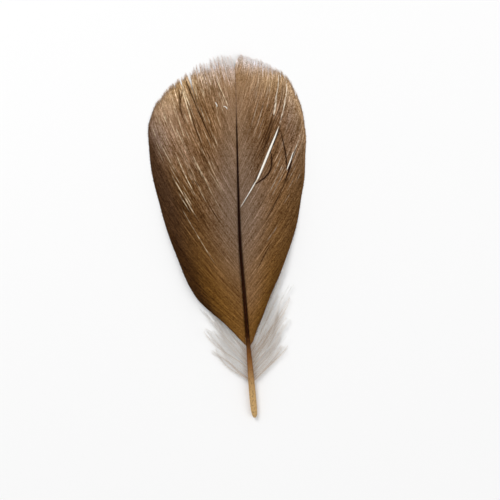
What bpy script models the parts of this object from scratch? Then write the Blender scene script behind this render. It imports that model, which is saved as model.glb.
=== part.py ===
"""A turkey plume lying on a surface with its outer face up: quill, shaft, two vanes in locks, and down at the base."""

import math
import random

import bmesh
import bpy
from mathutils import Vector

MM = 0.001
NAME = "feather"

# Driving dimensions are in millimetres. Y runs along the feather from the quill's end at 0 towards the tip,
# X to the right of a viewer above it, and Z up from the surface.
VANE_THICKNESS = 0.5
VANE_BASE = 22.6
VANE_TOP = 109.6
DOWN_BASE = 11.5
DOWN_TOP = 23.0

# Along the shaft: Y, sideways bend, height of its centre, radius.
SHAFT = (
    (0.0, 4.6, 0.98, 0.55),
    (1.2, 4.5, 1.00, 0.85),
    (4.0, 4.2, 1.05, 1.05),
    (12.0, 3.5, 1.40, 1.00),
    (24.0, 2.5, 3.00, 0.68),
    (38.0, 1.4, 5.20, 0.52),
    (54.0, 0.1, 6.60, 0.44),
    (70.0, -0.5, 6.70, 0.38),
    (90.0, -1.0, 4.90, 0.33),
    (103.0, -1.3, 2.90, 0.30),
    (109.6, -1.6, 1.65, 0.27),
)

# Guides of each vane: Y where a lock leaves the shaft, X and Y where it ends on the outline, its angle to the
# shaft at both ends in degrees, outwards from the tip's direction, and the height of its end before it meets
# the surface.
LEFT = (
    (22.6, -4.6, 29.4, 50.0, 46.0, 1.9),
    (24.4, -13.4, 38.2, 48.0, 38.0, 1.2),
    (28.4, -19.7, 51.9, 46.0, 24.0, 0.4),
    (35.3, -26.6, 71.9, 44.0, 15.0, -1.2),
    (43.0, -28.8, 90.0, 42.0, 8.0, -1.6),
    (54.1, -24.7, 100.9, 37.0, 6.0, -1.0),
    (68.8, -16.6, 108.1, 31.0, 9.0, -0.2),
    (87.7, -8.1, 112.0, 22.0, 9.0, 0.3),
    (109.6, -2.7, 113.7, 12.0, 10.0, 0.9),
)
RIGHT = (
    (22.6, 5.0, 26.2, 37.0, 31.0, 2.4),
    (24.4, 7.0, 31.6, 36.0, 29.0, 1.9),
    (28.4, 10.4, 40.0, 38.0, 24.0, 1.0),
    (35.3, 16.7, 56.6, 36.0, 18.0, -0.6),
    (44.7, 20.2, 76.6, 34.0, 6.0, -1.6),
    (55.0, 19.9, 94.4, 31.0, -8.0, -1.4),
    (66.3, 14.7, 106.8, 27.0, -18.0, -0.6),
    (80.8, 7.6, 111.4, 22.0, -20.0, 0.2),
    (95.0, 2.8, 113.0, 14.0, -14.0, 0.5),
    (109.6, -0.5, 113.8, 12.0, 2.0, 0.9),
)
ROOT_HANDLE = 0.30
EDGE_HANDLE = 0.17

# Locks leave the shaft closer together near its base: an even share, the rest grows with this power.
LOCKS_A_SIDE = 30
EVEN_SHARE = 0.24
CROWD_POWER = 2.6
ROWS = 10
NOTCH_DEPTH = (0.6, 1.9)
RIDGE = 0.15
FLOOR_LEVEL = 0.5 * VANE_THICKNESS
DROOP_POWER = 1.6

# Longer partings between locks: side, Y where the parting's line leaves the shaft, depth from the outline.
PARTINGS = ((-1, 62.0, 9.0), (-1, 72.0, 6.5), (-1, 96.0, 5.0), (1, 70.0, 5.5), (1, 60.0, 4.0), (1, 92.0, 3.0))

# The slit beside the shaft on the right, where two barbs have come apart: share of the lock's length, width.
SLIT_ROOT = 65.0
SLIT_SPAN = (0.05, 0.62)
SLIT_WIDTH = 0.7
SLIT_STEPS = 14

# Down: lengths of the lowest and the highest locks, and their angles to the shaft in degrees.
DOWN_LOCKS_A_SIDE = 10
DOWN_LENGTH = (15.0, 28.0)
DOWN_ANGLE = (58.0, 33.0)
DOWN_BEND = (9.0, 24.0)
DOWN_RADIUS = 0.8
DOWN_TIP_RADIUS = 0.12
DOWN_STEPS = 9

# Points of the underside that come closer to the surface than this lie on it.
CONTACT_GAP = 0.06


def smooth(table, key):
    """The table's values at key, on a cubic curve through its rows, whose first column is the key."""
    last = len(table) - 2
    i = min(max(sum(row[0] <= key for row in table) - 1, 0), last)
    a, b = table[i], table[i + 1]
    span = b[0] - a[0]
    t = (key - a[0]) / span

    def slope(j, column):
        low, high = table[max(j - 1, 0)], table[min(j + 1, last + 1)]
        return (high[column] - low[column]) / (high[0] - low[0])

    values = []
    for column in range(1, len(a)):
        start, end = slope(i, column) * span, slope(i + 1, column) * span
        values.append(
            (2 * t**3 - 3 * t**2 + 1) * a[column]
            + (t**3 - 2 * t**2 + t) * start
            + (3 * t**2 - 2 * t**3) * b[column]
            + (t**3 - t**2) * end
        )
    return values


def direction(side, degrees):
    """A flat unit vector, turned outwards from the tip's direction on that side."""
    angle = math.radians(degrees)
    return Vector((side * math.sin(angle), math.cos(angle)))


def vane_point(side, root_y, t):
    """A point of the vane's middle surface: t runs from 0 on the shaft to 1 on the outline, along a barb."""
    edge_x, edge_y, root_angle, edge_angle, edge_z = smooth(LEFT if side < 0 else RIGHT, root_y)
    root, edge = Vector((smooth(SHAFT, root_y)[0], root_y)), Vector((edge_x, edge_y))
    length = (edge - root).length
    first = root + direction(side, root_angle) * length * ROOT_HANDLE
    second = edge - direction(side, edge_angle) * length * EDGE_HANDLE
    s = 1 - t
    flat = root * s**3 + first * 3 * s * s * t + second * 3 * s * t * t + edge * t**3
    shaft_z = smooth(SHAFT, min(flat.y, VANE_TOP))[1]
    height = shaft_z + (edge_z - shaft_z) * t**DROOP_POWER
    return Vector((flat.x, flat.y, height))


def column_root(k):
    """Y where the k-th line of a vane leaves the shaft. Lines stand closer at the base, where the outline is long."""
    share = k / (2 * LOCKS_A_SIDE)
    run = EVEN_SHARE * share + (1 - EVEN_SHARE) * share**CROWD_POWER
    return VANE_BASE + (VANE_TOP - VANE_BASE) * run


def fullness(k):
    """How fully notches and ridges show at the k-th line: they die out where lines crowd, at the vane's ends."""
    root = column_root(k)
    return min(1.0, 0.05 + 0.12 * (root - VANE_BASE), 0.05 + 0.1 * (VANE_TOP - root))


def column_reach(side, chance):
    """The share of its full run that each line keeps: odd lines are middles of locks, even ones their notches."""
    cuts = [0 if k % 2 else fullness(k) * chance.uniform(*NOTCH_DEPTH) for k in range(2 * LOCKS_A_SIDE + 1)]
    for parted_side, root_y, depth in PARTINGS:
        if parted_side == side:
            notches = range(0, 2 * LOCKS_A_SIDE + 1, 2)
            cuts[min(notches, key=lambda k: abs(column_root(k) - root_y))] = depth
    reach = []
    for k, cut in enumerate(cuts):
        root = column_root(k)
        run = (vane_point(side, root, 1) - vane_point(side, root, 0)).length
        reach.append(1 - cut / run)
    return reach


def make_vanes(collection):
    """Both vanes as one sheet: a grid with a line of points along each lock and each notch, given a thickness."""
    chance = random.Random(7)
    reach = {side: column_reach(side, chance) for side in (-1, 1)}
    mesh = bpy.data.meshes.new("vanes")
    grid = bmesh.new()
    bmesh.ops.create_grid(grid, x_segments=2 * ROWS, y_segments=2 * LOCKS_A_SIDE, size=1)
    for point in grid.verts:
        row = round(point.co.x * ROWS)
        k = round((point.co.y + 1) * LOCKS_A_SIDE)
        side = -1 if row < 0 else 1
        t = abs(row) / ROWS * reach[side][k]
        place = vane_point(side, column_root(k), t)
        ridge = RIDGE * fullness(k) * (1 if k % 2 else -1) * min(1.0, 2 * t)
        place.z = max(place.z + ridge, FLOOR_LEVEL)
        point.co = place * MM
    bmesh.ops.recalc_face_normals(grid, faces=grid.faces)
    grid.to_mesh(mesh)
    grid.free()
    vanes = bpy.data.objects.new("vanes", mesh)
    collection.objects.link(vanes)
    thickness = vanes.modifiers.new("thickness", "SOLIDIFY")
    thickness.thickness = VANE_THICKNESS * MM
    thickness.offset = 0
    return vanes


def make_tube(name, points, radii, roundness, collection):
    """A closed tube through the points, as one welded mesh."""
    curve = bpy.data.curves.new(name, "CURVE")
    curve.dimensions = "3D"
    curve.bevel_depth = MM
    curve.bevel_resolution = roundness
    curve.use_fill_caps = True
    spline = curve.splines.new("POLY")
    spline.points.add(len(points) - 1)
    for knot, place, radius in zip(spline.points, points, radii):
        knot.co = (*(place * MM), 1)
        knot.radius = radius
    line = bpy.data.objects.new(name + "_line", curve)
    collection.objects.link(line)
    bpy.context.view_layer.update()
    mesh = bpy.data.meshes.new_from_object(line.evaluated_get(bpy.context.evaluated_depsgraph_get()))
    bpy.data.objects.remove(line)
    welded = bmesh.new()
    welded.from_mesh(mesh)
    bmesh.ops.remove_doubles(welded, verts=welded.verts, dist=1e-6)
    bmesh.ops.recalc_face_normals(welded, faces=welded.faces)
    welded.to_mesh(mesh)
    welded.free()
    tube = bpy.data.objects.new(name, mesh)
    collection.objects.link(tube)
    return tube


def make_shaft(collection):
    """Quill and rachis as one tapered tube, from the quill's blunt end to just short of the tip."""
    stations = [0, 0.5, 1.2, 2.5, 4, 8, 12, 16, 20, 24, 29, 34, 40, 47, 54, 62, 70, 78, 86, 94, 102, VANE_TOP]
    points, radii = [], []
    for y in stations:
        x, z, radius = smooth(SHAFT, y)
        points.append(Vector((x, y, z)))
        radii.append(radius)
    return make_tube("shaft", points, radii, 3, collection)


def make_down_lock(index, side, chance, collection):
    """One soft lock of down: it leaves the shaft sideways, swells, and sinks towards the surface in a bend."""
    share = (index + chance.uniform(-0.2, 0.2)) / (DOWN_LOCKS_A_SIDE - 1)
    root_y = DOWN_BASE + (DOWN_TOP - DOWN_BASE) * share
    root_x, root_z, _ = smooth(SHAFT, root_y)
    length = (DOWN_LENGTH[0] + (DOWN_LENGTH[1] - DOWN_LENGTH[0]) * share) * chance.uniform(0.88, 1.05)
    angle = DOWN_ANGLE[0] + (DOWN_ANGLE[1] - DOWN_ANGLE[0]) * share + chance.uniform(-3, 3)
    bend = chance.uniform(*DOWN_BEND)
    lowest = DOWN_RADIUS + chance.uniform(0.1, 0.4)
    place = Vector((root_x, root_y, root_z))
    points, radii = [place.copy()], [0.3]
    for step in range(1, DOWN_STEPS + 1):
        t = step / DOWN_STEPS
        flat = direction(side, angle - bend * t) * length / DOWN_STEPS
        place = place + Vector((flat.x, flat.y, 0))
        height = lowest + (root_z - lowest) * (1 - t) ** 1.5
        points.append(Vector((place.x, place.y, height)))
        radii.append(DOWN_TIP_RADIUS + (DOWN_RADIUS - DOWN_TIP_RADIUS) * math.sin(math.pi * t**0.8) ** 0.8)
    return make_tube(f"down_{index}_{side}", points, radii, 1, collection)


def make_slit_cutter(collection):
    """A slender upright blade that follows the barbs and parts the right vane along a stretch of them."""
    mesh = bpy.data.meshes.new("slit")
    blade = bmesh.new()
    bmesh.ops.create_cube(blade, size=1)
    bmesh.ops.subdivide_edges(
        blade,
        edges=[e for e in blade.edges if abs((e.verts[0].co - e.verts[1].co).y) > 0.5],
        cuts=SLIT_STEPS - 1,
    )
    for point in blade.verts:
        t = point.co.y + 0.5
        along = SLIT_SPAN[0] + (SLIT_SPAN[1] - SLIT_SPAN[0]) * t
        middle = vane_point(1, SLIT_ROOT, along)
        ahead = vane_point(1, SLIT_ROOT, along + 0.01) - vane_point(1, SLIT_ROOT, along - 0.01)
        across = Vector((ahead.y, -ahead.x, 0)).normalized()
        width = SLIT_WIDTH * (0.08 + 0.92 * math.sin(math.pi * t) ** 0.7)
        place = middle + across * width * point.co.x
        place.z = middle.z + 8 * VANE_THICKNESS * point.co.z
        point.co = place * MM
    bmesh.ops.recalc_face_normals(blade, faces=blade.faces)
    blade.to_mesh(mesh)
    blade.free()
    cutter = bpy.data.objects.new("slit", mesh)
    cutter.hide_render = True
    cutter.display_type = "WIRE"
    collection.objects.link(cutter)
    return cutter


def make_material():
    material = bpy.data.materials.new("plume")
    material.use_nodes = True
    shader = material.node_tree.nodes["Principled BSDF"]
    shader.inputs["Base Color"].default_value = (0.19, 0.13, 0.085, 1)
    shader.inputs["Roughness"].default_value = 0.55
    shader.inputs["Metallic"].default_value = 0
    return material


def evaluated_copy(source, name, collection):
    """A plain mesh object with the source's modifiers worked in."""
    bpy.context.view_layer.update()
    mesh = bpy.data.meshes.new_from_object(source.evaluated_get(bpy.context.evaluated_depsgraph_get()))
    copy = bpy.data.objects.new(name, mesh)
    collection.objects.link(copy)
    return copy


def centre_on_surface(feather):
    """Moves the mesh so that the middle of its footprint is the origin, and lays its lowest points flat at Z 0."""
    corners = [point.co for point in feather.data.vertices]
    low = Vector(min(c[i] for c in corners) for i in range(3))
    high = Vector(max(c[i] for c in corners) for i in range(3))
    for point in feather.data.vertices:
        point.co -= Vector(((low.x + high.x) / 2, (low.y + high.y) / 2, low.z))
        if point.co.z < CONTACT_GAP * MM:
            point.co.z = 0


def main():
    for old in list(bpy.data.objects):
        bpy.data.objects.remove(old)
    scene = bpy.context.scene.collection
    made = bpy.data.collections.new("turkey_plume")
    helpers = bpy.data.collections.new("cutters_and_joined_pieces")
    scene.children.link(made)
    scene.children.link(helpers)

    shaft = make_shaft(helpers)
    vanes = make_vanes(helpers)
    chance = random.Random(19)
    joined = [vanes]
    for side in (-1, 1):
        for index in range(DOWN_LOCKS_A_SIDE):
            joined.append(make_down_lock(index, side, chance, helpers))
    for piece in joined:
        union = shaft.modifiers.new("join_" + piece.name, "BOOLEAN")
        union.operation = "UNION"
        union.object = piece
    slit = shaft.modifiers.new("slit", "BOOLEAN")
    slit.operation = "DIFFERENCE"
    slit.object = make_slit_cutter(helpers)

    feather = evaluated_copy(shaft, NAME, made)
    for piece in [shaft, *joined]:
        bpy.data.objects.remove(piece)
    centre_on_surface(feather)
    feather.data.materials.clear()
    feather.data.materials.append(make_material())
    feather.data.set_sharp_from_angle(angle=math.radians(40))


main()
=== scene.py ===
"""Looks of a turkey plume lying on a pale surface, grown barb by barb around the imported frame."""

import math

import bpy
import numpy as np
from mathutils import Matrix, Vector


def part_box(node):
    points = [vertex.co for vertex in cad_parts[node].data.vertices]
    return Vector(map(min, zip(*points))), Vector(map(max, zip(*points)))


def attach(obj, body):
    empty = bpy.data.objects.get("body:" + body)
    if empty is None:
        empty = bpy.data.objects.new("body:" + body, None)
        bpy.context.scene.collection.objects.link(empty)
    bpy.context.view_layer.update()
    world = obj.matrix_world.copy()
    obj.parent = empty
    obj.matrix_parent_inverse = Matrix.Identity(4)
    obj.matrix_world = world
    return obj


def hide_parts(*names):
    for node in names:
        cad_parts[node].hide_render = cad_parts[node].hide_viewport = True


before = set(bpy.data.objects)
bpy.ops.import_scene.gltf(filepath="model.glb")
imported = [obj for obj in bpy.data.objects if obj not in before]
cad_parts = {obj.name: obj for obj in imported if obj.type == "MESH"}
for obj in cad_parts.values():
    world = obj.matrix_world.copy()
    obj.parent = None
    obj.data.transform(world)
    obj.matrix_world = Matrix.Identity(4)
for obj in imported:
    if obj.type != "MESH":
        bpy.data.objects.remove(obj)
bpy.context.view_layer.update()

MM = 0.001
PIXELS_PER_MM = 3.2
IMAGE_SIDE = 500
UPWARD = np.array((0.0, 0.0, 1.0))

# Build frame in millimetres: Y is 0 at the quill's end and grows towards the tip, X grows to the viewer's
# right. The photograph's pixel (PHOTO_X, PHOTO_Y) lies at its X 0, Y 0.
PHOTO_X, PHOTO_Y = 240.0, 418.0
LEFTMOST = -28.83

VANE_BASE, VANE_TOP = 22.6, 109.6

# Along the shaft: Y, sideways bend, height of its centre, half its width.
SHAFT = (
    (0.0, 4.6, 0.98, 0.55),
    (1.2, 4.5, 1.00, 0.85),
    (4.0, 4.2, 1.05, 1.03),
    (12.0, 3.5, 1.40, 0.98),
    (24.0, 2.5, 3.00, 0.62),
    (38.0, 1.4, 5.20, 0.50),
    (54.0, 0.1, 6.60, 0.41),
    (70.0, -0.5, 6.70, 0.28),
    (90.0, -1.0, 4.90, 0.18),
    (103.0, -1.3, 2.90, 0.11),
    (109.6, -1.6, 1.65, 0.06),
)

# Guides of each vane: Y where a barb leaves the shaft, X and Y where it ends, its angle to the shaft at both
# ends in degrees, outwards from the tip's direction, and the height of its end before it meets the surface.
# A barb runs on a cubic curve, and its t goes from 0 at the shaft to 1 at its end.
SIDES = {-1: "left", 1: "right"}
GUIDES = {
    -1: (
        (22.6, -4.6, 29.4, 50.0, 46.0, 1.9),
        (24.4, -13.8, 37.9, 48.0, 38.0, 1.2),
        (28.4, -20.3, 51.6, 46.0, 24.0, 0.4),
        (35.3, -26.6, 71.9, 44.0, 15.0, -1.2),
        (43.0, -28.8, 90.0, 42.0, 8.0, -1.6),
        (54.1, -24.7, 100.9, 37.0, 6.0, -1.0),
        (68.8, -16.6, 108.1, 31.0, 9.0, -0.2),
        (87.7, -8.1, 112.0, 22.0, 9.0, 0.3),
        (109.6, -2.7, 113.7, 12.0, 10.0, 0.9),
    ),
    1: (
        (22.6, 5.0, 26.2, 37.0, 31.0, 2.4),
        (24.4, 7.0, 31.6, 36.0, 29.0, 1.9),
        (28.4, 10.4, 40.0, 38.0, 24.0, 1.0),
        (35.3, 16.7, 56.6, 36.0, 18.0, -0.6),
        (44.7, 20.2, 76.6, 34.0, 6.0, -1.6),
        (55.0, 19.9, 94.4, 31.0, -8.0, -1.4),
        (66.3, 14.7, 106.8, 27.0, -18.0, -0.6),
        (80.8, 7.6, 111.4, 22.0, -20.0, 0.2),
        (95.0, 2.8, 113.0, 14.0, -14.0, 0.5),
        (109.6, -0.5, 113.8, 12.0, 2.0, 0.9),
    ),
}
ROOT_HANDLE, EDGE_HANDLE = 0.30, 0.17
DROOP_POWER = 1.6

BARBS, BARB_STEPS = 184, 50
FEWEST_IN_LOCK, MOST_IN_LOCK = 3, 9
# In mm: the lowest barb and the lowest point of any ribbon, and the limits of the gap to the next barb.
LOWEST_BARB, LOWEST_POINT = 0.09, 0.02
NARROWEST_GAP, WIDEST_GAP = 0.05, 0.9
# How far the loose barbs of one lock lean together, and how wide a web is against the gap to the next barb.
LEAN = 0.22
OVERLAP = 1.45
# In mm: the arch of a lock, how far the locks' heights differ, and the curl of loose ends. In degrees: the tilt
# of the webs, and how far it differs from barb to barb and from lock to lock.
LOCK_ARCH, LOCK_LEVELS, END_CURL = 0.10, 0.16, 0.5
WEB_TILT, BARB_TILTS, LOCK_TILTS = 9, 18, 16
# Short random painted glints and painted crack shadows on each vane, their spread in mm of root, and streaks on
# the barbs' ridges.
GLINTS = {-1: 110, 1: 50}
GLINT_SPREAD = 0.15
STREAKS = 900

feather_low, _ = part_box("feather")
SHIFT = Vector((feather_low[0] / MM - LEFTMOST, feather_low[1] / MM, 0.0))

# In mm. The lens sees the photograph's frame at the height of the vane's face.
CAMERA_HEIGHT, FACE_HEIGHT, SENSOR_WIDTH = 900.0, 4.0, 36.0


def make_camera():
    """Straight above, with the photograph's frame."""
    data = bpy.data.cameras.new("camera")
    data.sensor_width = SENSOR_WIDTH
    data.lens = SENSOR_WIDTH * CAMERA_HEIGHT / (IMAGE_SIDE / PIXELS_PER_MM)
    data.clip_start = 0.01
    data.clip_end = 20.0
    camera = bpy.data.objects.new("camera", data)
    middle_x = (IMAGE_SIDE / 2 - PHOTO_X) / PIXELS_PER_MM + SHIFT.x
    middle_y = (PHOTO_Y - IMAGE_SIDE / 2) / PIXELS_PER_MM + SHIFT.y
    camera.location = Vector((middle_x, middle_y, CAMERA_HEIGHT + FACE_HEIGHT)) * MM
    bpy.context.scene.collection.objects.link(camera)
    bpy.context.scene.camera = camera


def make_light(name, place, size, watts):
    """A round soft lamp that points at the feather's middle."""
    data = bpy.data.lights.new(name, "AREA")
    data.shape = "DISK"
    data.size = size
    data.energy = watts
    light = bpy.data.objects.new(name, data)
    light.location = place
    light.rotation_euler = (-Vector(place)).to_track_quat("-Z", "Y").to_euler()
    bpy.context.scene.collection.objects.link(light)


def make_stage():
    """A pale floor, a pale sky and two soft lamps."""
    mesh = bpy.data.meshes.new("floor")
    side = 6.0
    corners = [(-side, -side, 0), (side, -side, 0), (side, side, 0), (-side, side, 0)]
    mesh.from_pydata(corners, [], [(0, 1, 2, 3)])
    floor = bpy.data.objects.new("floor", mesh)
    floor.location.z = -0.00005
    bpy.context.scene.collection.objects.link(floor)
    material = bpy.data.materials.new("pale_floor")
    material.use_nodes = True
    shader = material.node_tree.nodes["Principled BSDF"]
    shader.inputs["Base Color"].default_value = (0.93, 0.93, 0.93, 1)
    shader.inputs["Roughness"].default_value = 0.9
    shader.inputs["Specular IOR Level"].default_value = 0.1
    mesh.materials.append(material)

    world = bpy.data.worlds.new("sky")
    world.use_nodes = True
    background = world.node_tree.nodes["Background"]
    background.inputs["Color"].default_value = (1.0, 1.0, 1.0, 1)
    background.inputs["Strength"].default_value = 0.55
    bpy.context.scene.world = world
    make_light("key", (-0.55, 0.75, 0.95), 0.7, 9.0)
    make_light("fill", (0.9, -0.2, 0.9), 1.0, 4.0)
    bpy.context.scene.view_settings.view_transform = "Standard"


def pixel_point(x, y):
    """The build frame's X and Y of a photograph pixel."""
    return np.array(((x - PHOTO_X) / PIXELS_PER_MM, (PHOTO_Y - y) / PIXELS_PER_MM))


def smooth(table, keys):
    """The table's columns at each key, on cubic curves through its rows."""
    rows = np.array(table)
    keys = np.asarray(keys, float)
    last = len(rows) - 1
    slopes = np.empty_like(rows)
    for j in range(last + 1):
        low, high = rows[max(j - 1, 0)], rows[min(j + 1, last)]
        slopes[j] = (high - low) / (high[0] - low[0])
    i = np.clip(np.searchsorted(rows[:, 0], keys, side="right") - 1, 0, last - 1)
    span = (rows[i + 1, 0] - rows[i, 0])[..., None]
    t = (keys - rows[i, 0])[..., None] / span
    a, b, da, db = rows[i], rows[i + 1], slopes[i] * span, slopes[i + 1] * span
    found = (2 * t**3 - 3 * t**2 + 1) * a + (t**3 - 2 * t**2 + t) * da
    found = found + (3 * t**2 - 2 * t**3) * b + (t**3 - t**2) * db
    return np.moveaxis(found[..., 1:], -1, 0)


def ease(low, high, value):
    """0 below low, 1 above high, and a smooth step between."""
    t = np.clip((value - low) / (high - low), 0, 1)
    return t * t * (3 - 2 * t)


def unit(vectors):
    return vectors / np.maximum(np.linalg.norm(vectors, axis=-1, keepdims=True), 1e-9)


def along_slope(points):
    """Unit directions along each path of points (paths, steps, 3)."""
    return unit(np.gradient(points, axis=1))


def level_axes(ahead, upward=UPWARD):
    """Unit directions across and over each path, for ribbons that lie flat."""
    across = unit(np.cross(ahead, upward))
    return across, np.cross(across, ahead)


def vane_paths(side, roots, t):
    """Points along the barbs, and the barbs' lengths: roots is (barbs, 1), t is (steps) or (barbs, steps)."""
    edge_x, edge_y, root_angle, edge_angle, edge_z = smooth(GUIDES[side], roots)
    root_x, _, root_r = smooth(SHAFT, roots)
    root_x = root_x + side * 0.7 * root_r
    a = np.stack(np.broadcast_arrays(root_x, roots), -1)
    d = np.stack(np.broadcast_arrays(edge_x, edge_y), -1)
    length = np.linalg.norm(d - a, axis=-1, keepdims=True)

    def heading(degrees):
        angle = np.radians(degrees)
        return np.stack([side * np.sin(angle), np.cos(angle)], -1)

    b = a + heading(root_angle) * length * ROOT_HANDLE
    c = d - heading(edge_angle) * length * EDGE_HANDLE
    k = t[..., None]
    s = 1 - k
    flat = a * s**3 + b * 3 * s * s * k + c * 3 * s * k * k + d * k**3
    shaft_z = smooth(SHAFT, np.minimum(flat[..., 1], VANE_TOP))[1]
    height = shaft_z + (edge_z - shaft_z) * np.clip(t, 0, None) ** DROOP_POWER
    height = height - 0.35 * root_r * (1 - ease(0, 0.06, t))
    return np.concatenate([flat, height[..., None]], -1), length[..., 0]


def add_field(mesh, name, values):
    layer = mesh.attributes.new(name, "FLOAT", "POINT")
    layer.data.foreach_set("value", values.ravel().astype(np.float32))


def ribbons_mesh(name, points, across, up, profile, width, thick, attributes):
    """One mesh of closed ribbons. points, across and up are (ribbons, steps, 3); profile lists corners (share
    of the half width, share of the thickness); width and thick spread to (ribbons, steps), and each attribute
    spreads to that or is (ribbons, steps, corners)."""
    count, steps = points.shape[:2]
    corners = len(profile)
    body = np.empty((count, steps, corners, 3))
    for c, (x, z) in enumerate(profile):
        body[:, :, c] = points + across * (x * 0.5 * width)[..., None] + up * (z * thick)[..., None]
    body[..., 2] = np.maximum(body[..., 2], LOWEST_POINT)
    body = (body + np.array(SHIFT)) * MM
    verts = body.reshape(-1, 3)

    ring = np.arange(corners)
    step = np.arange(steps - 1)
    start = (np.arange(count)[:, None, None] * steps + step[None, :, None]) * corners
    one, two = start + ring, start + (ring + 1) % corners
    quads = np.stack([one, two, two + corners, one + corners], -1).reshape(-1, 4)
    first = np.arange(count)[:, None] * steps * corners
    near_cap = first + ring[::-1]
    far_cap = first + (steps - 1) * corners + ring
    caps = np.concatenate([near_cap, far_cap])

    mesh = bpy.data.meshes.new(name)
    mesh.vertices.add(len(verts))
    mesh.vertices.foreach_set("co", verts.astype(np.float32).ravel())
    loops = np.concatenate([quads.ravel(), caps.ravel()])
    sizes = np.concatenate([np.full(len(quads), 4), np.full(len(caps), corners)])
    mesh.loops.add(len(loops))
    mesh.loops.foreach_set("vertex_index", loops.astype(np.int32))
    mesh.polygons.add(len(sizes))
    mesh.polygons.foreach_set("loop_start", (np.cumsum(sizes) - sizes).astype(np.int32))
    mesh.update(calc_edges=True)
    mesh.validate()
    for key, values in attributes.items():
        spread = values if values.ndim == 3 else values[..., None]
        add_field(mesh, key, np.broadcast_to(spread, (count, steps, corners)))
    add_field(mesh, "across", np.tile([x for x, _ in profile], count * steps))
    return mesh


def add_piece(name, mesh, material):
    piece = bpy.data.objects.new(name, mesh)
    bpy.context.scene.collection.objects.link(piece)
    mesh.materials.append(material)
    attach(piece, "root")
    return piece


def barb_locks(chance):
    """For each barb its lock's number, its place across the lock from -1 to 1, and the lock's size."""
    number, place, whole = np.empty(BARBS, int), np.empty((BARBS, 1)), np.empty((BARBS, 1))
    start, lock = 0, 0
    while start < BARBS:
        size = min(int(chance.integers(FEWEST_IN_LOCK, MOST_IN_LOCK + 1)), BARBS - start)
        own = slice(start, start + size)
        number[own], whole[own] = lock, size
        place[own, 0] = 0 if size == 1 else np.linspace(-1, 1, size)
        start, lock = start + size, lock + 1
    return number, place, whole


# Slits where two barbs have come apart: Y of the root, t from and to, how wide in mm, and how many barbs on
# each side give way.
SLITS = {
    -1: (
        (69.2, 0.30, 1.10, 0.24, 6), (65.0, 0.84, 1.10, 0.90, 4),
        (69.6, 0.78, 1.10, 1.10, 5), (75.8, 0.86, 1.10, 0.70, 4),
        (82.3, 0.84, 1.10, 0.80, 4), (89.0, 0.86, 1.10, 0.50, 4),
    ),
    1: (
        (64.6, 0.03, 0.64, 0.62, 7), (54.6, 0.55, 0.72, 0.50, 4),
        (71.0, 0.80, 1.15, 0.50, 4), (68.2, 0.86, 1.15, 0.45, 4),
    ),
}
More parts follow.
